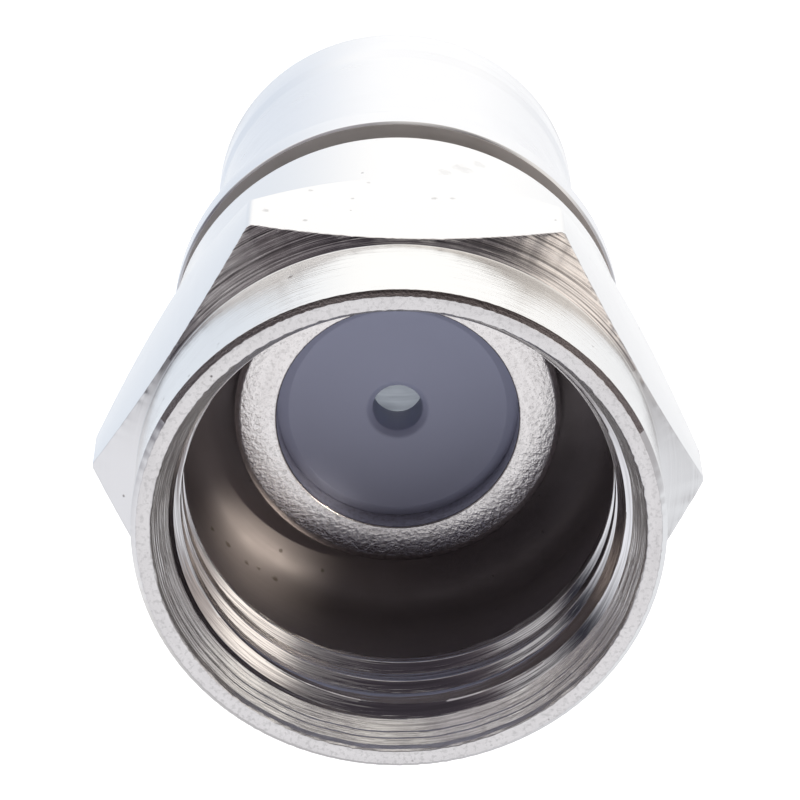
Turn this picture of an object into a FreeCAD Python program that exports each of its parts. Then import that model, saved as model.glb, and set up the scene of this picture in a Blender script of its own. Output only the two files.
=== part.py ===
import FreeCAD, Part
import os
import Sketcher

# Coaxial F connector for a screened cable, lying on one flat of its nut.
# Stations run along +Y from the nut's open mouth to the cable end, all in mm.

os.makedirs("parts", exist_ok=True)
doc = FreeCAD.newDocument("f_connector")

SIZES = [
    ("thread_major", 9.525, "3/8-32 thread, roots of the nut's grooves"),
    ("thread_depth", 0.3325, "height of the nut's crests over those roots"),
    ("thread_pitch", 0.79375, "32 turns per inch"),
    ("thread_phase", 0.51, "station of a groove's middle at the top of the nut"),
    ("thread_end", 2.95, "station of the last full crest"),
    ("mouth_over", 0.2275, "mouth's edge outside the thread's roots"),
    ("mouth_depth", 0.45, "counterbore in front of the lead-in cone"),
    ("mouth_taper", 0.06, "counterbore's loss of radius over its depth"),
    ("lead_end", 1.3, "station where the lead-in cone reaches the thread's crests"),
    ("face_width", 0.29, "flat ring round the mouth"),
    ("collar_chamfer", 0.11, "chamfer round that ring"),
    ("collar_length", 2.26, "station where the front cone leaves the round collar"),
    ("flat_over", 0.11, "hexagon's flats outside the collar"),
    ("front_cone_rise", 0.625, "front cone, station gained per mm of radius"),
    ("corner_rear", 4.09, "station where the rear cone meets the corners"),
    ("rear_cone_rise", 1.575, "rear cone, station gained per mm of radius"),
    ("relief_over", 0.0375, "run-out bore outside the thread's roots"),
    ("relief_round", 1.5, "round between the run-out bore and the captive lip"),
    ("skirt_wall", 0.19, "round skirt behind the hexagon, over the run-out bore"),
    ("skirt_chamfer", 0.12, "chamfer on the skirt's rear rim"),
    ("lip_gap", 0.08, "captive lip behind the flange, along the axis"),
    ("lip_clearance", 0.08, "captive lip round the post's neck, a running fit"),
    ("lip_length", 3.05, "captive lip, to the skirt's rear rim"),
    ("flange_station", 5.36, "station of the post's front face"),
    ("post_bore", 4.75, "bore for the cable's dielectric"),
    ("seat_step", 0.205, "insulator's seat outside the post's bore"),
    ("neck_wall", 0.37, "post's neck outside the insulator's seat"),
    ("flange_over", 0.53, "post's flange outside its neck"),
    ("flange_thick", 0.6, "post's flange"),
    ("flange_round", 0.22, "round on the flange's front edge"),
    ("tube_wall", 0.375, "tube that goes under the cable's braid"),
    ("barb_height", 0.22, "ridge near the tube's end that holds the braid"),
    ("barb_length", 0.9, "ramp of that ridge"),
    ("barb_tip", 0.25, "tube's tip behind the ridge"),
    ("post_length", 11.3, "flange face to the tube's end"),
    ("insulator_recess", 0.45, "insulator's face behind the flange's face"),
    ("insulator_thick", 1.25, "insulator disc"),
    ("insulator_hole", 1.06, "hole for the centre conductor"),
    ("insulator_bevel", 0.13, "bevel round the front of that hole"),
    ("insulator_funnel", 0.2, "lead-in at the hole's rear end"),
    ("insulator_edge", 0.08, "bevel round the disc's front, along the axis"),
    ("insulator_rim", 0.27, "bevel round the disc's front, on the radius"),
    ("barrel_gap", 0.79, "nut's rear rim to the barrel's shoulder"),
    ("barrel_length", 7.57, "shoulder face to the cable mouth"),
    ("web_thick", 1.4, "web of the barrel, pressed on the post's neck"),
    ("sleeve_bore", 7.4, "bore over the cable's jacket"),
    ("sleeve_wall", 0.47, "crimping sleeve"),
    ("sleeve_chamfer", 0.25, "lead-in at the cable mouth"),
    ("shoulder_over", 0.81, "shoulder behind the nut, outside the sleeve"),
    ("shoulder_thick", 0.68, "cylindrical part of the shoulder"),
    ("shoulder_chamfer", 0.06, "chamfer on the shoulder's front edge"),
    ("bead_height", 0.05, "slightly raised band at the cable end"),
    ("bead_ramp", 0.12, "slope up to that band"),
    ("bead_length", 1.3, "slightly raised band, with its slope"),
    ("end_round", 0.2, "round on the cable end's outer edge"),
    ("grip_depth", 0.12, "grip grooves inside the sleeve"),
    ("grip_width", 0.5, "grip grooves inside the sleeve"),
    ("grip_pitch", 1.1, "grip grooves inside the sleeve"),
    ("grip_first", 2.4, "first grip groove, behind the shoulder face"),
]

sheet = doc.addObject("Spreadsheet::Sheet", "sizes")
for row, (alias, value, note) in enumerate(SIZES, start=1):
    sheet.set("A%d" % row, alias)
    sheet.set("B%d" % row, str(value))
    sheet.setAlias("B%d" % row, alias)
    sheet.set("C%d" % row, note)
doc.recompute()

# Radii and stations that the pieces share, built up from the sizes above.
MAJOR_R = "(sizes.thread_major / 2)"
MINOR_R = "(" + MAJOR_R + " - sizes.thread_depth)"
MOUTH_R = "(" + MAJOR_R + " + sizes.mouth_over)"
COLLAR_R = "(" + MOUTH_R + " + sizes.face_width + sizes.collar_chamfer)"
FLAT_R = "(" + COLLAR_R + " + sizes.flat_over)"
CORNER_R = "(" + FLAT_R + " * 2 / sqrt(3))"
STOCK_R = "(" + FLAT_R + " * 1.2)"
RELIEF_R = "(" + MAJOR_R + " + sizes.relief_over)"
SKIRT_R = "(" + RELIEF_R + " + sizes.skirt_wall)"
BORE_R = "(sizes.post_bore / 2)"
SEAT_R = "(" + BORE_R + " + sizes.seat_step)"
NECK_R = "(" + SEAT_R + " + sizes.neck_wall)"
FLANGE_R = "(" + NECK_R + " + sizes.flange_over)"
TUBE_R = "(" + BORE_R + " + sizes.tube_wall)"
LIP_R = "(" + NECK_R + " + sizes.lip_clearance)"
HOLE_R = "(sizes.insulator_hole / 2)"
SLEEVE_R = "(sizes.sleeve_bore / 2)"
BARREL_R = "(" + SLEEVE_R + " + sizes.sleeve_wall)"
SHOULDER_R = "(" + BARREL_R + " + sizes.shoulder_over)"
BEAD_R = "(" + BARREL_R + " + sizes.bead_height)"

LIP_FRONT = "(sizes.flange_station + sizes.flange_thick + sizes.lip_gap)"
NUT_END = "(" + LIP_FRONT + " + sizes.lip_length)"
BARREL_FRONT = "(" + NUT_END + " + sizes.barrel_gap)"
MIDDLE = "((" + BARREL_FRONT + " + sizes.barrel_length) / 2)"


def origin_plane(body, role):
    for plane in body.Origin.OriginFeatures:
        if plane.Role == role:
            return plane
    raise ValueError(role)


def new_body(label, station):
    """A body whose own Y axis is the connector's axis, placed at a station."""
    body = doc.addObject("PartDesign::Body", label)
    body.Label = label
    body.setExpression("Placement.Base.y", station + " - " + MIDDLE)
    body.setExpression("Placement.Base.z", FLAT_R)
    return body


def sketch_on(body, label, role="YZ_Plane"):
    sketch = body.newObject("Sketcher::SketchObject", label)
    sketch.AttachmentSupport = [(origin_plane(body, role), "")]
    sketch.MapMode = "FlatFace"
    return sketch


def place_point(sketch, line, end, across, along):
    """Ties one end of a line to the two sketch axes by expressions."""
    for kind, expression in (("DistanceX", across), ("DistanceY", along)):
        value = float(sheet.evalExpression(expression))
        index = sketch.addConstraint(Sketcher.Constraint(kind, -1, 1, line, end, value))
        sketch.setExpression("Constraints[%d]" % index, expression)


def outline(sketch, corners):
    """Closed outline through corners, each a pair of expressions."""
    points = []
    for across, along in corners:
        x = float(sheet.evalExpression(across))
        y = float(sheet.evalExpression(along))
        points.append(FreeCAD.Vector(x, y, 0))
    first = sketch.GeometryCount
    count = len(points)
    for i in range(count):
        sketch.addGeometry(Part.LineSegment(points[i], points[(i + 1) % count]), False)
    for i in range(count):
        following = first + (i + 1) % count
        sketch.addConstraint(Sketcher.Constraint("Coincident", first + i, 2, following, 1))
    for i in range(count):
        place_point(sketch, first + i, 1, corners[i][0], corners[i][1])
    return first


def feature(body, kind, label, sketch, axis=None):
    item = body.newObject("PartDesign::" + kind, label)
    item.Profile = sketch
    if axis:
        item.ReferenceAxis = (sketch, [axis])
    sketch.Visibility = False
    return item


def turned(body, label, corners):
    """Solid of revolution about the body's Y axis."""
    sketch = sketch_on(body, label + "_profile")
    outline(sketch, corners)
    item = feature(body, "Revolution", label, sketch, "H_Axis")
    item.Angle = 360
    doc.recompute()
    return item


def bored(body, label, corners):
    """Groove of revolution about the body's Y axis."""
    sketch = sketch_on(body, label + "_profile")
    outline(sketch, corners)
    before = body.Shape.Volume
    item = feature(body, "Groove", label, sketch, "H_Axis")
    item.Angle = 360
    doc.recompute()
    if item.Shape.Volume >= before:
        raise ValueError(label + " removed nothing")
    return item


def edges_at(shape, station, radius):
    """Names of the round edges at one station and radius of a turned shape."""
    names = []
    for number, edge in enumerate(shape.Edges, start=1):
        curve = edge.Curve
        if not isinstance(curve, Part.Circle):
            continue
        if abs(curve.Radius - radius) < 1e-4 and abs(curve.Center.y - station) < 1e-4:
            names.append("Edge%d" % number)
    return names


def rounded(body, label, station, radius, size):
    """Fillet on the one round edge at a station and radius, all three given as expressions."""
    base = body.Tip
    where = float(sheet.evalExpression(station))
    names = edges_at(base.Shape, where, float(sheet.evalExpression(radius)))
    if len(names) != 1:
        raise ValueError(label + " found no single edge")
    item = body.newObject("PartDesign::Fillet", label)
    item.Base = (base, names)
    item.setExpression("Radius", size)
    doc.recompute()
    return item


# Coupling nut: turned from hexagon bar, countersunk and threaded.
nut = new_body("coupling_nut", "0")

front_top = "(sizes.collar_length + (" + STOCK_R + " - " + COLLAR_R + ") * sizes.front_cone_rise)"
rear_top = "(sizes.corner_rear - (" + STOCK_R + " - " + CORNER_R + ") * sizes.rear_cone_rise)"
rear_foot = "(sizes.corner_rear + (" + CORNER_R + " - " + SKIRT_R + ") * sizes.rear_cone_rise)"
turned(nut, "nut_blank", [
    ("0", "0"),
    ("0", COLLAR_R + " - sizes.collar_chamfer"),
    ("sizes.collar_chamfer", COLLAR_R),
    ("sizes.collar_length", COLLAR_R),
    (front_top, STOCK_R),
    (rear_top, STOCK_R),
    (rear_foot, SKIRT_R),
    (NUT_END + " - sizes.skirt_chamfer", SKIRT_R),
    (NUT_END, SKIRT_R + " - sizes.skirt_chamfer"),
    (NUT_END, "0"),
])

flats = sketch_on(nut, "hexagon_flats_profile", "XZ_Plane")
outline(flats, [
    (CORNER_R, "0"),
    (CORNER_R + " / 2", FLAT_R),
    ("-" + CORNER_R + " / 2", FLAT_R),
    ("-" + CORNER_R, "0"),
    ("-" + CORNER_R + " / 2", "-" + FLAT_R),
    (CORNER_R + " / 2", "-" + FLAT_R),
])
ring = flats.addGeometry(Part.Circle(FreeCAD.Vector(0, 0, 0), FreeCAD.Vector(0, 0, 1), 9.0), False)
flats.addConstraint(Sketcher.Constraint("Coincident", ring, 3, -1, 1))
ring_radius = flats.addConstraint(Sketcher.Constraint("Radius", ring, 9.0))
flats.setExpression("Constraints[%d]" % ring_radius, STOCK_R + " * 1.4")
blank_volume = nut.Shape.Volume
hexagon = feature(nut, "Pocket", "hexagon_flats", flats)
hexagon.Type = 1
hexagon.Midplane = True
doc.recompute()
if hexagon.Shape.Volume >= blank_volume:
    raise ValueError("the hexagon's flats removed nothing")

relief_start = "(sizes.thread_end + " + RELIEF_R + " - " + MINOR_R + ")"
bored(nut, "nut_bore", [
    ("0", "0"),
    ("0", MOUTH_R),
    ("sizes.mouth_depth", MOUTH_R + " - sizes.mouth_taper"),
    ("sizes.lead_end", MINOR_R),
    ("sizes.thread_end", MINOR_R),
    (relief_start, RELIEF_R),
    (LIP_FRONT, RELIEF_R),
    (LIP_FRONT, LIP_R),
    (NUT_END, LIP_R),
    (NUT_END, "0"),
])

widest_round = "(" + RELIEF_R + " - " + LIP_R + " - 0.02)"
rounded(nut, "relief_round", LIP_FRONT, RELIEF_R, "min(sizes.relief_round; " + widest_round + ")")

# The groove between the thread's crests: a 60 degree form with flat crests and roots.
# It starts in front of the mouth and runs out in the relief bore.
groove = "(sizes.thread_phase - sizes.thread_pitch)"
root_half = "(sizes.thread_pitch / 16)"
open_half = "(" + root_half + " + (sizes.thread_depth + 0.1) * tan(30))"
thread = sketch_on(nut, "thread_profile")
outline(thread, [
    (groove + " - " + open_half, MINOR_R + " - 0.1"),
    (groove + " - " + root_half, MAJOR_R),
    (groove + " + " + root_half, MAJOR_R),
    (groove + " + " + open_half, MINOR_R + " - 0.1"),
])
plain_volume = nut.Shape.Volume
helix = nut.newObject("PartDesign::SubtractiveHelix", "thread_groove")
helix.Profile = thread
helix.ReferenceAxis = (thread, ["H_Axis"])
helix.Mode = 0
helix.setExpression("Pitch", "sizes.thread_pitch")
helix.setExpression("Height", relief_start + " + sizes.thread_pitch")
helix.LeftHanded = False
thread.Visibility = False
doc.recompute()
if helix.Shape.Volume >= plain_volume:
    raise ValueError("the thread removed nothing")

# Post: flange inside the nut, neck, and the tube that goes under the braid.
post = new_body("post", "sizes.flange_station")

neck_end = "(" + BARREL_FRONT + " - sizes.flange_station + sizes.web_thick)"
barb_start = "(sizes.post_length - sizes.barb_length - sizes.barb_tip)"
seat_end = "(sizes.insulator_recess + sizes.insulator_thick)"
turned(post, "post_turning", [
    ("0", SEAT_R),
    ("0", FLANGE_R),
    ("sizes.flange_thick", FLANGE_R),
    ("sizes.flange_thick", NECK_R),
    (neck_end, NECK_R),
    (neck_end, TUBE_R),
    (barb_start, TUBE_R),
    (barb_start, TUBE_R + " + sizes.barb_height"),
    (barb_start + " + sizes.barb_length", TUBE_R + " - sizes.tube_wall * 0.2"),
    ("sizes.post_length", TUBE_R + " - sizes.tube_wall * 0.3"),
    ("sizes.post_length", BORE_R),
    (seat_end, BORE_R),
    (seat_end, SEAT_R),
])
rounded(post, "flange_round", "0", FLANGE_R, "sizes.flange_round")

# Insulator: disc pressed in the post, with the centre conductor's hole.
insulator = new_body("insulator", "sizes.flange_station + sizes.insulator_recess")

turned(insulator, "insulator_disc", [
    ("0", HOLE_R + " + sizes.insulator_bevel"),
    ("0", SEAT_R + " - sizes.insulator_rim"),
    ("sizes.insulator_edge", SEAT_R),
    ("sizes.insulator_thick", SEAT_R),
    ("sizes.insulator_thick", HOLE_R + " + sizes.insulator_funnel"),
    ("sizes.insulator_thick - sizes.insulator_funnel", HOLE_R),
    ("sizes.insulator_bevel", HOLE_R),
])

# Barrel: shoulder that holds the nut on, and the sleeve crimped on the cable.
barrel = new_body("barrel", BARREL_FRONT)

shoulder_foot = "(sizes.shoulder_thick + sizes.shoulder_over * 0.6)"
bead_start = "(sizes.barrel_length - sizes.bead_length)"
turned(barrel, "barrel_turning", [
    ("0", NECK_R),
    ("0", SHOULDER_R + " - sizes.shoulder_chamfer"),
    ("sizes.shoulder_chamfer", SHOULDER_R),
    ("sizes.shoulder_thick", SHOULDER_R),
    (shoulder_foot, BARREL_R),
    (bead_start, BARREL_R),
    (bead_start + " + sizes.bead_ramp", BEAD_R),
    ("sizes.barrel_length", BEAD_R),
    ("sizes.barrel_length", SLEEVE_R + " + sizes.sleeve_chamfer"),
    ("sizes.barrel_length - sizes.sleeve_chamfer", SLEEVE_R),
    ("sizes.web_thick", SLEEVE_R),
    ("sizes.web_thick", NECK_R),
])
rounded(barrel, "end_round", "sizes.barrel_length", BEAD_R, "sizes.end_round")

grip = bored(barrel, "grip_groove", [
    ("sizes.grip_first", SLEEVE_R + " - 0.1"),
    ("sizes.grip_first", SLEEVE_R + " + sizes.grip_depth"),
    ("sizes.grip_first + sizes.grip_width", SLEEVE_R + " - 0.1"),
])
grips = barrel.newObject("PartDesign::LinearPattern", "grip_grooves")
grips.Originals = [grip]
grips.Direction = (grip.Profile[0], ["H_Axis"])
grips.setExpression("Length", "sizes.grip_pitch * 3")
grips.Occurrences = 4
barrel.Tip = grips
doc.recompute()

for item in doc.Objects:
    if "Invalid" in item.State or "Error" in item.State:
        raise RuntimeError(item.Label + " did not compute")

for body in (nut, post, insulator, barrel):
    if body.Shape.isNull() or not body.Shape.isValid():
        raise RuntimeError(body.Label + " has no valid shape")
    body.Shape.exportStep(os.path.join("parts", body.Label + ".step"))
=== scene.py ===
import math
import random
import bmesh
import bpy
from mathutils import Matrix, Vector


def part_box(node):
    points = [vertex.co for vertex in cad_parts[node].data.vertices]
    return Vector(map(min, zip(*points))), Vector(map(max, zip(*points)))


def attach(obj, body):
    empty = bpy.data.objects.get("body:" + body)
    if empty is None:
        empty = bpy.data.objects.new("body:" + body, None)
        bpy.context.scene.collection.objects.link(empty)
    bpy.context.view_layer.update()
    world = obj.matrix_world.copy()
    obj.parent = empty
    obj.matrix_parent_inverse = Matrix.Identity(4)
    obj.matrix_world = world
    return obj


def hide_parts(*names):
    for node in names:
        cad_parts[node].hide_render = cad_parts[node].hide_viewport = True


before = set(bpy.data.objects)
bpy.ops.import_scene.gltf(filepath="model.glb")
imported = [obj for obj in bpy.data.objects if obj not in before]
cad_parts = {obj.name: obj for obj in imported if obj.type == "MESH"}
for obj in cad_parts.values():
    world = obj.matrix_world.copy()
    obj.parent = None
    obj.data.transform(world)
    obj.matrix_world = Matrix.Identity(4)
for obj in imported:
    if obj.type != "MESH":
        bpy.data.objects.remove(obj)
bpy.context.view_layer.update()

MM = 0.001
low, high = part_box("coupling_nut")
MOUTH = low.y / MM
AXIS = (low.z + high.z) / 2 / MM

# Sizes in mm, stations counted from the nut's mouth towards the cable, as in the CAD source.
# Nut
PITCH = 0.79375
MINOR_R = 4.43
MAJOR_R = 4.7625
MOUTH_R = 4.99
MOUTH_STEPS = [(0.05, 4.965), (0.2, 4.96), (0.31, 4.875), (0.36, 4.873), (0.45, 4.803), (0.5, 4.8)]
LEAD_EDGE = (0.71, 4.64)
LEAD_END = 1.3
THREAD_END = 2.95
GROOVE_AT_TOP = 0.51
RELIEF_R = 4.8
RELIEF_START = THREAD_END + RELIEF_R - MINOR_R
COLLAR_R = 5.39
COLLAR_END = 2.26
COLLAR_CHAMFER = 0.11
FRONT_RISE = 0.625
REAR_RISE = 1.575
FLAT = 5.5
CORNER = FLAT / math.cos(math.radians(30))
CORNER_REAR = 4.09
SKIRT_R = 4.99
SKIRT_CHAMFER = 0.12
NUT_END = 9.09

# Post
FLANGE = 5.36
FLANGE_END = FLANGE + 0.6
FLANGE_R = 3.48
SEAT_R = 2.58
NECK_R = 2.95
BORE_R = 2.375
TUBE_R = 2.75
TUBE_END = FLANGE + 11.3
BARB_R = 2.97
BARB_START = TUBE_END - 1.15
BARB_END = TUBE_END - 0.25
BARB_END_R = 2.67
TIP_R = 2.63

# The nut's captive lip behind the flange
LIP_FRONT = FLANGE_END + 0.08
LIP_R = 3.03

# Insulator
DISC = FLANGE + 0.45
DISC_END = DISC + 1.25
DISC_FACE_R = 2.33
HOLE_R = 0.53
BEVEL = 0.13
FUNNEL = 0.2

# Barrel
BARREL = 9.88
END = 17.45
WEB_END = BARREL + 1.4
SHOULDER_R = 4.98
SHOULDER_CHAMFER = 0.06
SHOULDER_END = BARREL + 0.68
TAPER_END = BARREL + 1.17
BARREL_R = 4.17
BEAD_R = 4.22
BEAD_FOOT = END - 1.5
BEAD_START = END - 1.1
SLEEVE_R = 3.7
SLEEVE_CHAMFER = 0.25
GRIP_R = 3.81
GRIP_WIDTH = 0.45
GRIPS = [BARREL + 2.4 + 1.1 * i for i in range(4)]

# Wear and burrs left on the nut
STEP_WEAR = 0.008
INNER_WEAR = 0.01
OUTER_WEAR = 0.007
CORNER_WEAR = 0.025
BURR = 0.012
BURR_WIDTH = 0.08
SHARP = 0.012

# Points of a mesh this near in metres are one point, and edges over this angle stay sharp.
MERGE = 2e-8
SHARP_ANGLE = math.radians(32)


# Mesh helpers
def place(station, radius, angle):
    """Point in metres at a station, a radius from the axis and an angle from +X towards +Z."""
    return (
        radius * math.cos(angle) * MM,
        (MOUTH + station) * MM,
        (AXIS + radius * math.sin(angle)) * MM,
    )


def wobble(angle, seed, lowest=5, highest=40):
    """Smooth seeded unevenness round the axis, about one unit either way."""
    source = random.Random(seed)
    total = 0.0
    for wave in range(lowest, highest, 3):
        total += source.uniform(-1, 1) * math.sin(wave * angle + source.uniform(0, 6.283))
    return total / math.sqrt((highest - lowest) / 9)


def eased(corners, closed, steps=4):
    """Outline through (station, radius, round) corners, each corner with its own rounding."""
    result = []
    count = len(corners)
    for i, (s, r, size) in enumerate(corners):
        inner = closed or 0 < i < count - 1
        if not size or not inner:
            result.append((s, r))
            continue
        here = Vector((s, r))
        back = Vector(corners[i - 1][:2]) - here
        on = Vector(corners[(i + 1) % count][:2]) - here
        u, v = back.normalized(), on.normalized()
        half = math.acos(max(-1.0, min(1.0, u.dot(v)))) / 2
        if half > math.radians(89.5):
            result.extend([(s, r)] * (steps + 1))
            continue
        reach = min(size / math.tan(half), back.length * 0.49, on.length * 0.49)
        radius = reach * math.tan(half)
        centre = here + (u + v).normalized() * (radius / math.sin(half))
        start, stop = here + u * reach - centre, here + v * reach - centre
        turn = start.angle_signed(stop)
        for k in range(steps + 1):
            arm = start.copy()
            arm.rotate(Matrix.Rotation(-turn * k / steps, 2))
            result.append(tuple(centre + arm))
    return result


def turned(outline_at, angles, closed, steps=4):
    """Points and faces of a turned surface whose outline may change with the angle."""
    rings = [eased(outline_at(a), closed, steps) for a in angles]
    rows = len(rings[0])
    points = [place(s, r, a) for ring, a in zip(rings, angles) for s, r in ring]
    faces = []
    span = rows if closed else rows - 1
    for i in range(len(angles)):
        j = (i + 1) % len(angles)
        for k in range(span):
            m = (k + 1) % rows
            faces.append((i * rows + k, j * rows + k, j * rows + m, i * rows + m))
    return points, faces


def even_angles(count):
    return [2 * math.pi * i / count for i in range(count)]


def put(name, data):
    """A new object in the scene."""
    thing = bpy.data.objects.new(name, data)
    bpy.context.scene.collection.objects.link(thing)
    return thing


def finish_mesh(name, points, faces, material, body, zones=()):
    """A smooth piece on its body. Each zone gives another material to the faces where its test of
    station, radius and height over the axis holds."""
    mesh = bpy.data.meshes.new(name)
    mesh.from_pydata(points, [], faces)
    shape = bmesh.new()
    shape.from_mesh(mesh)
    bmesh.ops.remove_doubles(shape, verts=shape.verts, dist=MERGE)
    bmesh.ops.recalc_face_normals(shape, faces=shape.faces)
    shape.to_mesh(mesh)
    shape.free()
    mesh.shade_smooth()
    mesh.set_sharp_from_angle(angle=SHARP_ANGLE)
    mesh.materials.append(material)
    for other, within in zones:
        mesh.materials.append(other)
        index = len(mesh.materials) - 1
        for face in mesh.polygons:
            x, s, z = face.center.x / MM, face.center.y / MM - MOUTH, face.center.z / MM - AXIS
            if within(s, math.hypot(x, z), z):
                face.material_index = index
    piece = put(name, mesh)
    even = piece.modifiers.new("even_normals", "WEIGHTED_NORMAL")
    even.keep_sharp = True
    even.weight = 60
    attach(piece, body)
    return piece


# Node helpers
def tree_of(name):
    material = bpy.data.materials.new(name)
    material.use_nodes = True
    tree = material.node_tree
    return material, tree, tree.nodes["Principled BSDF"]


def add(tree, kind, inputs=(), **settings):
    """A node with its settings, and with values or other nodes' outputs on its inputs."""
    node = tree.nodes.new(kind)
    for key, value in settings.items():
        setattr(node, key, value)
    for key, value in dict(inputs).items():
        if isinstance(value, bpy.types.NodeSocket):
            tree.links.new(value, node.inputs[key])
        else:
            node.inputs[key].default_value = value
    return node


def math_node(tree, operation, a, b=0.0):
    return add(tree, "ShaderNodeMath", {0: a, 1: b}, operation=operation).outputs[0]


def mapped(tree, value, low_in, high_in, low_out=0.0, high_out=1.0):
    node = add(tree, "ShaderNodeMapRange", {
        "Value": value, "From Min": low_in, "From Max": high_in,
        "To Min": low_out, "To Max": high_out})
    return node.outputs[0]


def opaque(colour):
    return tuple(colour) + (1.0,)


def blend(tree, share, under, over):
    """One colour over another, by a share from 0 to 1."""
    node = add(tree, "ShaderNodeMix", {"Factor": share, "A": under, "B": over}, data_type="RGBA")
    return node.outputs["Result"]


def bumped(tree, shader, height, strength, distance):
    bump = add(tree, "ShaderNodeBump", {"Height": height, "Strength": strength, "Distance": distance})
    tree.links.new(bump.outputs[0], shader.inputs["Normal"])


def polar(tree):
    """Of the point being shaded: its place, radius, station and height over the axis in mm, and the
    unit direction from the axis."""
    coords = add(tree, "ShaderNodeTexCoord")
    shifted = add(tree, "ShaderNodeVectorMath", {
        0: coords.outputs["Object"], 1: (0.0, -MOUTH * MM, -AXIS * MM)}, operation="ADD")
    scaled = add(tree, "ShaderNodeVectorMath", {
        0: shifted.outputs[0], "Scale": 1 / MM}, operation="SCALE")
    parts = add(tree, "ShaderNodeSeparateXYZ", {0: scaled.outputs[0]})
    x, s, z = parts.outputs
    squares = math_node(
        tree, "ADD", math_node(tree, "MULTIPLY", x, x), math_node(tree, "MULTIPLY", z, z))
    radius = math_node(tree, "SQRT", squares)
    safe = math_node(tree, "MAXIMUM", radius, 0.001)
    return {"point": scaled.outputs[0], "r": radius, "s": s, "z": z,
            "cos": math_node(tree, "DIVIDE", x, safe), "sin": math_node(tree, "DIVIDE", z, safe)}


def turning_marks(tree, at, across, around):
    """Noise drawn out round the axis, as a lathe tool leaves it."""
    vector = add(tree, "ShaderNodeCombineXYZ", {
        0: math_node(tree, "MULTIPLY", at["cos"], around),
        1: math_node(tree, "MULTIPLY", at["sin"], around),
        2: math_node(tree, "MULTIPLY", at["r"], across)})
    noise = add(tree, "ShaderNodeTexNoise", {
        "Vector": vector.outputs[0], "W": math_node(tree, "MULTIPLY", at["s"], across),
        "Scale": 1.0, "Detail": 3.0, "Roughness": 0.6}, noise_dimensions="4D")
    return noise.outputs["Fac"]


def noise3(tree, at, scale, detail=2.0, rough=0.5):
    noise = add(tree, "ShaderNodeTexNoise", {
        "Vector": at["point"], "Scale": scale, "Detail": detail, "Roughness": rough})
    return noise.outputs["Fac"]


def pitted_places(tree, at):
    """Small round pits that come in clusters."""
    cells = add(tree, "ShaderNodeTexVoronoi", {"Vector": at["point"], "Scale": 2.2, "Randomness": 1.0})
    middles = mapped(tree, cells.outputs["Distance"], 0.04, 0.085, 1.0, 0.0)
    clusters = mapped(tree, noise3(tree, at, 0.9, 1.0), 0.56, 0.62)
    return math_node(tree, "MULTIPLY", middles, clusters)


def marked_places(tree, at, marks):
    """Uneven spots at (x, station, height over the axis, radius, depth)."""
    ragged = noise3(tree, at, 9.0, 2.0)
    total = 0.0
    for x, s, z, size, depth in marks:
        apart = add(tree, "ShaderNodeVectorMath", {0: at["point"], 1: (x, s, z)}, operation="DISTANCE")
        uneven = math_node(tree, "MULTIPLY", ragged, size * 1.6)
        apart = math_node(tree, "ADD", apart.outputs["Value"], uneven)
        total = math_node(tree, "MAXIMUM", total, mapped(tree, apart, size * 1.2, size * 1.8, depth, 0.0))
    return total


# Materials
PIT_COLOUR = (0.2, 0.18, 0.17, 1.0)
MARK_COLOUR = (0.12, 0.10, 0.09, 1.0)
# Painted shade: the colour that darkens the lower side of a metal.
LOWER_SHADE_COLOUR = (0.24, 0.21, 0.21, 1.0)
STAIN_COLOUR = (0.05, 0.04, 0.04, 1.0)


def nickel(name, colour, rough, streaks, lines=9.0, stain=0.0, grain=0.0, grain_size=11.0,
           pits=0.0, marks=(), shade=0.0, metal=1.0):
    """Plated metal with lathe streaks, stains along them, a grain, pits, marks and painted shade that
    darkens the lower side.
    Lines sets how fine the streaks are."""
    material, tree, shader = tree_of(name)
    at = polar(tree)
    fine = turning_marks(tree, at, lines, 1.2)
    grains = noise3(tree, at, grain_size, 3.0, 0.62)
    cloudy = mapped(tree, noise3(tree, at, 1.1, 3.0), 0.3, 0.7, rough * 0.85, rough * 1.2)
    streaky = mapped(tree, fine, 0.35, 0.65, -0.02, 0.05)
    tree.links.new(math_node(tree, "ADD", cloudy, streaky), shader.inputs["Roughness"])
    tint = opaque(colour)
    height = math_node(tree, "ADD", math_node(tree, "MULTIPLY", fine, streaks),
                       math_node(tree, "MULTIPLY", grains, grain))
    if pits:
        pit = math_node(tree, "MULTIPLY", pitted_places(tree, at), pits)
        tint = blend(tree, pit, tint, PIT_COLOUR)
        height = math_node(tree, "SUBTRACT", height, pit)
    if marks:
        dent = marked_places(tree, at, marks)
        tint = blend(tree, dent, tint, MARK_COLOUR)
        height = math_node(tree, "SUBTRACT", height, dent)
    if grain:
        hollows = mapped(tree, grains, 0.36, 0.5, 0.28, 0.0)
        tint = blend(tree, hollows, tint, opaque(c * 0.45 for c in colour))
    # Painted shade: the metal turns darker towards its lower side.
    if shade:
        painted_lower_shade = mapped(tree, math_node(tree, "ADD", at["z"], grains), -1.6, -3.0, 0.0, shade)
        tint = blend(tree, painted_lower_shade, tint, LOWER_SHADE_COLOUR)
    if stain:
        tint = blend(tree, mapped(tree, fine, 0.52, 0.38, 0.0, stain), tint, STAIN_COLOUR)
    if isinstance(tint, tuple):
        shader.inputs["Base Color"].default_value = tint
    else:
        tree.links.new(tint, shader.inputs["Base Color"])
    shader.inputs["Metallic"].default_value = metal
    bumped(tree, shader, height, 1.0, 0.01 * MM)
    return material


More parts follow.
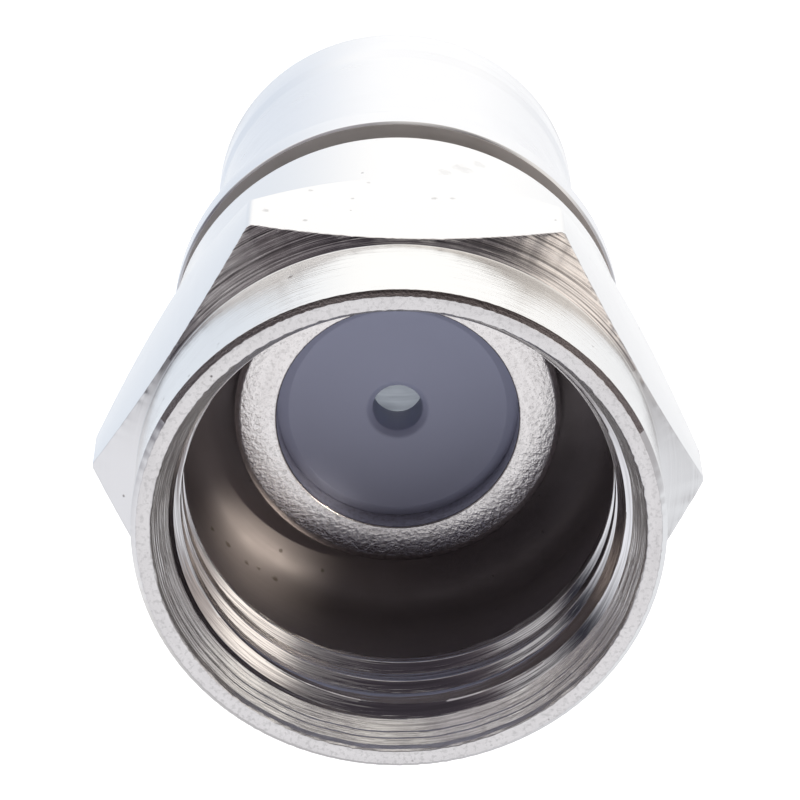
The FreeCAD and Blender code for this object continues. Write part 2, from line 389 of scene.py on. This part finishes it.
def plastic(name):
    material, tree, shader = tree_of(name)
    at = polar(tree)
    cloud = noise3(tree, at, 0.8, 3.0)
    # The plastic's colour is darkened to grey-blue as painted shade in the nut's recess.
    tint = blend(tree, cloud, (0.42, 0.45, 0.62, 1.0), (0.46, 0.49, 0.66, 1.0))
    tree.links.new(tint, shader.inputs["Base Color"])
    tree.links.new(mapped(tree, cloud, 0.3, 0.7, 0.42, 0.5), shader.inputs["Roughness"])
    bumped(tree, shader, noise3(tree, at, 14.0, 2.0), 0.4, 0.004 * MM)
    return material


# Marks of use on the nut's top flat, skirt, collar and bowl, as the photograph shows them.
FLAT_MARKS = [
    (-2.82, 3.58, 5.50, 0.10, 0.3), (-1.95, 4.68, 5.50, 0.07, 0.25), (-1.08, 4.32, 5.50, 0.06, 0.3),
    (-0.76, 5.18, 5.50, 0.06, 0.2), (-2.04, 3.12, 5.50, 0.06, 0.35), (0.59, 4.42, 5.50, 0.07, 0.3),
    (0.96, 4.44, 5.50, 0.06, 0.25),
]
SKIRT_MARKS = [
    (0.86, 7.23, 4.92, 0.18, 0.12), (1.25, 7.68, 4.83, 0.26, 0.14), (1.61, 8.19, 4.72, 0.18, 0.12),
]
COLLAR_MARKS = [(-2.29, 1.72, 4.88, 0.08, 0.6)]
BOWL_MARKS = [
    (-3.91, 5.36, -2.71, 0.08, 0.9), (-3.57, 5.43, -3.13, 0.09, 0.9), (-3.17, 5.39, -3.54, 0.08, 0.9),
    (-2.91, 5.49, -3.73, 0.06, 0.9), (-2.56, 5.50, -3.98, 0.08, 0.9), (-1.53, 5.96, -4.00, 0.06, 0.8),
    (-2.45, 5.95, -3.53, 0.05, 0.8),
]

NUT_METAL = nickel(
    "nut_nickel", (0.88, 0.87, 0.86), 0.13, 0.3, pits=0.5, marks=FLAT_MARKS + SKIRT_MARKS + COLLAR_MARKS)
COLLAR_METAL = nickel(
    "collar_nickel", (0.88, 0.87, 0.85), 0.12, 0.9, lines=20.0, pits=0.6, marks=COLLAR_MARKS)
EDGE_METAL = nickel(
    "edge_nickel", (0.22, 0.19, 0.19), 0.25, 1.5, lines=18.0, stain=0.9, grain=4.0, grain_size=18.0)
FACE_METAL = nickel("face_nickel", (0.86, 0.85, 0.86), 0.2, 0.3, grain=0.3, grain_size=9.0, pits=1.0)
CONE_METAL = nickel("cone_nickel", (0.85, 0.82, 0.81), 0.1, 1.6, lines=25.0, stain=0.7)
SIDE_METAL = nickel("side_nickel", (0.88, 0.87, 0.86), 0.15, 0.5, pits=1.0)
THREAD_METAL = nickel("thread_nickel", (0.96, 0.95, 0.95), 0.07, 0.9, lines=14.0, stain=0.2)
MOUTH_METAL = nickel("mouth_nickel", (1.0, 0.98, 0.96), 0.08, 1.3, lines=26.0, stain=0.2, metal=0.8)
# The bowl's dark colour is painted shade deep inside the nut; its pits and marks are real.
BOWL_SHADE_METAL = nickel("bowl_nickel_painted_shade", (0.27, 0.24, 0.25), 0.52, 0.1, pits=0.8, marks=BOWL_MARKS, metal=0.4)
# The post's flange is darkened on its lower side by painted shade.
POST_METAL = nickel(
    "post_nickel", (0.98, 0.96, 0.96), 0.18, 0.1, grain=1.3, grain_size=9.5, shade=0.72)
# The seat's dark colour is painted shade in the recess between the flange and the disc.
SEAT_SHADE_METAL = nickel("seat_nickel_painted_shade", (0.3, 0.28, 0.28), 0.25, 0.1)
GAP_METAL = nickel("gap_nickel", (0.74, 0.70, 0.68), 0.5, 0.2)
# The bore's dark blue-grey is painted shade inside the post.
BORE_SHADE_METAL = nickel("bore_nickel_painted_shade", (0.36, 0.39, 0.44), 0.45, 0.05)
BARREL_METAL = nickel("barrel_nickel", (0.86, 0.86, 0.87), 0.2, 0.3)
PLASTIC = plastic("grey_plastic_painted_shade")


# Coupling nut
def hexagon_r(angle):
    off = (angle + math.pi / 6) % (math.pi / 3) - math.pi / 6
    return min(FLAT / math.cos(math.pi / 6 - abs(off)), CORNER - CORNER_WEAR)


def nut_outline(angle):
    """The nut's outline from its thread's start over the outside to the run-out bore. The burr moves
    only the last bit of the front cone, at its edge with the hexagon."""
    hexagon = hexagon_r(angle)
    front = COLLAR_END + (hexagon - COLLAR_R) * FRONT_RISE
    edge = min(BURR_WIDTH, 0.4 * (hexagon - COLLAR_R))
    rear = CORNER_REAR + (CORNER - hexagon) * REAR_RISE
    foot = CORNER_REAR + (CORNER - SKIRT_R) * REAR_RISE
    steps = STEP_WEAR * wobble(angle, 3)
    outer = OUTER_WEAR * wobble(angle, 4, lowest=90, highest=185)
    burr = BURR * wobble(angle, 6, lowest=40, highest=180)
    inner = INNER_WEAR * wobble(angle, 8, lowest=40, highest=180)
    return [(s, r + steps, SHARP) for s, r in reversed(MOUTH_STEPS)] + [
        (0.0, MOUTH_R + inner, 0.02),
        (0.0, COLLAR_R - COLLAR_CHAMFER + outer, SHARP),
        (COLLAR_CHAMFER - outer, COLLAR_R, SHARP),
        (COLLAR_END, COLLAR_R, 0.03),
        (front - edge * FRONT_RISE, hexagon - edge, 0),
        (front + burr, hexagon, 0.03),
        (rear, hexagon, 0.06),
        (foot, SKIRT_R, 0.3),
        (NUT_END - SKIRT_CHAMFER, SKIRT_R, 0.06),
        (NUT_END, SKIRT_R - SKIRT_CHAMFER, 0.05),
        (NUT_END, LIP_R, 0.05),
        (LIP_FRONT, LIP_R, 0.05),
        (LIP_FRONT, RELIEF_R, 1.5),
        (RELIEF_START, RELIEF_R, 0),
    ]


def nut_angles():
    """Even angles, with two more close to each of the hexagon's corners."""
    angles = even_angles(384)
    for corner in range(6):
        for off in (-0.45, 0.45):
            angles.append((math.radians(60 * corner + off)) % (2 * math.pi))
    return sorted(angles)


def mouth_r(s, wear):
    """Radius of the lead-in cone behind the mouth's steps, before the thread is cut."""
    lead_s, lead_r = LEAD_EDGE
    step_s, step_r = MOUTH_STEPS[-1]
    step_r += wear
    if s < lead_s:
        return step_r + (lead_r - step_r) * (s - step_s) / (lead_s - step_s)
    return max(MINOR_R, lead_r + (MINOR_R - lead_r) * (s - lead_s) / (LEAD_END - lead_s))


def thread_form():
    """One pitch of the thread, from crest to crest over the groove, as close (station, radius) rows."""
    root = PITCH / 16
    crest = root + (MAJOR_R - MINOR_R) * math.tan(math.radians(30))
    form = eased([
        (-PITCH / 2, MINOR_R, 0),
        (-crest, MINOR_R, 0.03),
        (-root, MAJOR_R, 0.03),
        (root, MAJOR_R, 0.03),
        (crest, MINOR_R, 0.03),
        (PITCH / 2, MINOR_R, 0),
    ], False)
    rows = []
    for (s0, r0), (s1, r1) in zip(form, form[1:]):
        pieces = max(1, round((s1 - s0) / 0.03))
        rows += [(s0 + (s1 - s0) * k / pieces, r0 + (r1 - r0) * k / pieces) for k in range(pieces)]
    return rows


def thread_strip(angles):
    """The helical wall from the countersunk mouth to the run-out bore, one pitch of rows per turn."""
    form = thread_form()
    rows = len(form)
    around = len(angles)
    turns = 7
    wear = [STEP_WEAR * wobble(angle, 3) for angle in angles]
    points = []
    for c in range(turns * around):
        angle = angles[c % around]
        centre = GROOVE_AT_TOP + PITCH * (0.25 - angle / (2 * math.pi) + c // around - 2)
        for ds, r in form:
            s = min(max(centre + ds, MOUTH_STEPS[-1][0]), RELIEF_START)
            runout = MINOR_R + (s - THREAD_END)
            points.append(place(s, max(r, mouth_r(s, wear[c % around]), runout), angle))

    def row_at(column, row):
        """Point of a column. The row after its last is the first of the same column one turn on."""
        return (column + around) * rows if row == rows else column * rows + row

    faces = []
    for c in range(turns * around):
        full_circle = (c + 1) % around == 0
        ahead = c + 1 - 2 * around if full_circle else c + 1
        for k in range(rows):
            face = (row_at(c, k), row_at(ahead, k), row_at(ahead, k + 1), row_at(c, k + 1))
            if min(face) >= 0 and max(face) < len(points):
                faces.append(face)
    return points, faces


# Where each metal of the nut lies, by station, radius and height over the axis. Small amounts in the
# tests keep the middles of faces clear of the limits.
FACE_DEPTH = 0.02
INSIDE_R = MOUTH_R - 0.002
THREAD_METAL_END = 3.4
CONE_DEPTH = 0.61
EDGE_LOWEST = 2.4


def on_cone(s, r, z):
    return r > COLLAR_R + 0.02 and COLLAR_END < s < COLLAR_END + CONE_DEPTH


def on_upper_cone(s, r, z):
    return on_cone(s, r, z) and z > r / 2


def on_lower_cone(s, r, z):
    return on_cone(s, r, z) and z <= r / 2


def on_collar(s, r, z):
    return r > COLLAR_R - 0.01 and COLLAR_CHAMFER + 0.01 < s < COLLAR_END


def on_upper_edge(s, r, z):
    return COLLAR_R - 0.1 < r < COLLAR_R - 0.008 and 0.006 < s < 0.1 and z > EDGE_LOWEST


def on_front_face(s, r, z):
    return r > INSIDE_R and s < FACE_DEPTH


def in_thread(s, r, z):
    return r < INSIDE_R and FACE_DEPTH < s < THREAD_METAL_END


def in_mouth(s, r, z):
    return LEAD_EDGE[1] < r < INSIDE_R and FACE_DEPTH < s < LEAD_EDGE[0]


def in_bowl(s, r, z):
    return r < RELIEF_R + 0.01 and THREAD_END + 0.1 < s < NUT_END


def make_nut():
    angles = nut_angles()
    points, faces = turned(nut_outline, angles, False)
    thread_points, thread_faces = thread_strip(angles)
    base = len(points)
    faces += [tuple(base + v for v in face) for face in thread_faces]
    zones = [
        (CONE_METAL, on_upper_cone),
        (SIDE_METAL, on_lower_cone),
        (COLLAR_METAL, on_collar),
        (EDGE_METAL, on_upper_edge),
        (FACE_METAL, on_front_face),
        (THREAD_METAL, in_thread),
        (MOUTH_METAL, in_mouth),
        (BOWL_SHADE_METAL, in_bowl),
    ]
    piece = finish_mesh(
        "nut_shell", points + thread_points, faces, NUT_METAL, "nut", zones)
    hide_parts("coupling_nut")


# Post, insulator and barrel
def make_post():
    def outline(angle):
        """The flange's front edge is rounder below than above."""
        edge = 0.15 - 0.06 * math.sin(angle)
        return [
            (FLANGE, SEAT_R, 0.04),
            (FLANGE, FLANGE_R, edge),
            (FLANGE_END, FLANGE_R, 0.08),
            (FLANGE_END, NECK_R, 0.05),
            (WEB_END, NECK_R, 0.05),
            (WEB_END, TUBE_R, 0.02),
            (BARB_START, TUBE_R, 0.02),
            (BARB_START, BARB_R, 0.04),
            (BARB_END, BARB_END_R, 0.04),
            (TUBE_END, TIP_R, 0.04),
            (TUBE_END, BORE_R, 0.04),
            (DISC_END, BORE_R, 0.03),
            (DISC_END, SEAT_R, 0.03),
        ]

    points, faces = turned(outline, even_angles(288), True, 5)
    zones = [
        (BORE_SHADE_METAL, lambda s, r, z: r < BORE_R + 0.025),
        (SEAT_SHADE_METAL, lambda s, r, z: r < SEAT_R + 0.02 and s < DISC + 0.2),
    ]
    piece = finish_mesh("post_shell", points, faces, POST_METAL, "cable_side", zones)
    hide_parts("post")


def make_insulator():
    outline = [
        (DISC, HOLE_R + BEVEL, 0.1),
        (DISC, DISC_FACE_R, 0.1),
        (DISC + BEVEL, SEAT_R, 0.03),
        (DISC_END, SEAT_R, 0.05),
        (DISC_END, HOLE_R + FUNNEL, 0.05),
        (DISC_END - FUNNEL, HOLE_R, 0.05),
        (DISC + BEVEL, HOLE_R, 0.07),
    ]
    points, faces = turned(lambda angle: outline, even_angles(240), True, 5)
    piece = finish_mesh("insulator_disc", points, faces, PLASTIC, "cable_side")
    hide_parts("insulator")


def make_barrel():
    outline = [
        (BARREL, NECK_R, 0),
        (BARREL, SHOULDER_R - SHOULDER_CHAMFER, 0.03),
        (BARREL + SHOULDER_CHAMFER, SHOULDER_R, 0.03),
        (SHOULDER_END, SHOULDER_R, 0.08),
        (TAPER_END, BARREL_R, 0.3),
        (BEAD_FOOT, BARREL_R, 0.3),
        (BEAD_START, BEAD_R, 0.3),
        (END, BEAD_R, 0.2),
        (END, SLEEVE_R + SLEEVE_CHAMFER, 0.04),
        (END - SLEEVE_CHAMFER, SLEEVE_R, 0.04),
    ]
    for start in reversed(GRIPS):
        outline += [
            (start + GRIP_WIDTH, SLEEVE_R, 0.02),
            (start, GRIP_R, 0.02),
            (start - 0.01, SLEEVE_R, 0.01),
        ]
    outline += [(WEB_END, SLEEVE_R, 0.1), (WEB_END, NECK_R, 0)]
    points, faces = turned(lambda angle: outline, even_angles(288), True, 5)
    zones = [(GAP_METAL, lambda s, r, z: s < BARREL + 0.02)]
    piece = finish_mesh("barrel_shell", points, faces, BARREL_METAL, "cable_side", zones)
    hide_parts("barrel")


make_nut()
make_post()
make_insulator()
make_barrel()


# Stage and lights
# Soft areas of the light tent, matched to the reflections in the photograph: bearing from +X
# towards +Z and tilt from -Y, half width and softness in degrees, and the light each gives back.
TENT_LIGHT = (1.15, 1.15, 1.15)
TENT_AREAS = [
    ("table_in_front", 290, 59, 74, 17, (0.45, 0.44, 0.46)),
    ("table_at_right", 336, 109, 41, 25, (0.86, 0.88, 0.92)),
    ("dark_room", 69, 33, 55, 8, (0.04, 0.034, 0.042)),
    ("grey_ceiling", 116, 71, 11, 12, (0.39, 0.37, 0.39)),
    ("warm_window", 0, 31, 20, 6, (0.42, 0.37, 0.35)),
    ("bright_window", 47, 87, 46, 14, (0.95, 0.92, 0.88)),
    ("dark_left", 181, 64, 28, 6, (0.02, 0.02, 0.03)),
    ("camera", 221, 18, 16, 5, (0.06, 0.05, 0.06)),
    ("table_near", 270, 27, 17, 8, (0.85, 0.84, 0.85)),
    ("grey_left", 146, 59, 15, 16, (0.14, 0.12, 0.13)),
    ("dark_right", 63, 57, 16, 13, (0.09, 0.08, 0.09)),
    ("brown_table", 315, 59, 12, 5, (0.28, 0.26, 0.27)),
    ("left_edge", 182, 92, 18, 20, (0.16, 0.15, 0.18)),
    ("right_edge", 2, 82, 12, 12, (0.47, 0.46, 0.48)),
    ("blue_sky", 183, 133, 31, 19, (0.79, 0.85, 0.94)),
    ("white_card", 208, 73, 19, 16, (0.84, 0.85, 0.90)),
    ("warm_lamp", 29, 49, 12, 7, (1.15, 1.06, 0.97)),
    ("left_glow", 154, 48, 9, 7, (0.5, 0.49, 0.5)),
]
TENT_RADIUS = 0.6


def tent_colour(tree):
    """The tent's light in each direction from its middle, later areas lying over earlier ones."""
    coords = add(tree, "ShaderNodeTexCoord")
    toward = add(tree, "ShaderNodeVectorMath", {0: coords.outputs["Object"]}, operation="NORMALIZE")
    light = opaque(TENT_LIGHT)
    for name, bearing, tilt, width, soft, colour in TENT_AREAS:
        bearing, tilt = math.radians(bearing), math.radians(tilt)
        middle = (math.sin(tilt) * math.cos(bearing), -math.cos(tilt), math.sin(tilt) * math.sin(bearing))
        near = add(tree, "ShaderNodeVectorMath", {0: toward.outputs[0], 1: middle},
                   operation="DOT_PRODUCT", label=name)
        edge = add(tree, "ShaderNodeMapRange", {
            "Value": near.outputs["Value"],
            "From Min": math.cos(math.radians(width + soft)),
            "From Max": math.cos(math.radians(max(width - soft, 0)))}, interpolation_type="SMOOTHSTEP")
        light = blend(tree, edge.outputs[0], light, opaque(colour))
    return light


def make_tent():
    """A closed tent of soft light round the part, seen only by what it shines on."""
    material = bpy.data.materials.new("tent_light")
    material.use_nodes = True
    tree = material.node_tree
    tree.nodes.clear()
    glow = add(tree, "ShaderNodeEmission", {"Color": tent_colour(tree), "Strength": 1.0})
    add(tree, "ShaderNodeOutputMaterial", {"Surface": glow.outputs[0]})
    shape = bmesh.new()
    bmesh.ops.create_icosphere(shape, subdivisions=5, radius=TENT_RADIUS)
    mesh = bpy.data.meshes.new("light_tent")
    shape.to_mesh(mesh)
    shape.free()
    mesh.materials.append(material)
    tent = put("light_tent", mesh)
    tent.location = (0, 0, AXIS * MM)
    tent.visible_camera = False
    tent.visible_shadow = False


def make_floor():
    """The white ground that the camera sees, without a shadow or a reflection on the part."""
    white = (1.0, 1.0, 1.0, 1.0)
    material, tree, shader = tree_of("white_floor")
    shader.inputs["Base Color"].default_value = white
    shader.inputs["Roughness"].default_value = 0.9
    shader.inputs["Emission Color"].default_value = white
    shader.inputs["Emission Strength"].default_value = 1.0
    mesh = bpy.data.meshes.new("floor")
    mesh.from_pydata([(-2, -2, 0), (2, -2, 0), (2, 2, 0), (-2, 2, 0)], [], [(0, 1, 2, 3)])
    mesh.materials.append(material)
    floor = put("floor", mesh)
    floor.visible_glossy = False
    floor.visible_diffuse = False
    floor.visible_shadow = False


def make_world():
    world = bpy.data.worlds.new("studio")
    bpy.context.scene.world = world
    world.use_nodes = True
    background = world.node_tree.nodes["Background"]
    background.inputs["Color"].default_value = (1.0, 1.0, 1.0, 1.0)
    background.inputs["Strength"].default_value = 1.0


def shine(lamp, target, away):
    """Sets a lamp off from its target and turns it back towards it, all in metres."""
    lamp.location = target + away
    lamp.rotation_mode = "QUATERNION"
    lamp.rotation_quaternion = away.to_track_quat("Z", "Y")


def make_lamps():
    """A soft disk below the camera, and a narrow beam on the bowl's lower left."""
    fill = bpy.data.lights.new("fill", "AREA")
    fill.shape = "DISK"
    fill.size = 0.12
    fill.energy = 0.15
    fill_lamp = put("fill", fill)
    fill_lamp.visible_glossy = False
    shine(fill_lamp, Vector((0.0, 0.0, 0.0)), Vector((0.0, -0.20, -0.135)))

    spot = bpy.data.lights.new("spot", "SPOT")
    spot.energy = 0.5
    spot.color = (1.0, 0.92, 0.76)
    spot.spot_size = math.radians(1.6)
    spot.spot_blend = 1.0
    spot.shadow_soft_size = 0.0008
    bowl = Vector((-2.95, MOUTH + 5.75, AXIS - 3.4)) * MM
    beam = Vector((0.633, -0.682, 0.366))
    shine(put("spot", spot), bowl, beam * 0.1)


def make_camera():
    """The photograph's own view, from the camera that was solved for it."""
    data = bpy.data.cameras.new("camera")
    data.sensor_width = 36.0
    data.lens = 180.0
    data.clip_start = 0.005
    camera = put("camera", data)
    across = Vector((0.99959, -0.00508, 0.02812))
    upward = Vector((-0.02312, 0.43440, 0.90043))
    backward = across.cross(upward).normalized()
    upward = backward.cross(across).normalized()
    turn = Matrix((across, upward, backward)).transposed().to_4x4()
    camera.matrix_world = Matrix.Translation((-0.0013896, -0.079713, 0.042755)) @ turn
    bpy.context.scene.camera = camera


make_floor()
make_world()
make_tent()
make_lamps()
make_camera()
bpy.context.scene.view_settings.view_transform = "Standard"
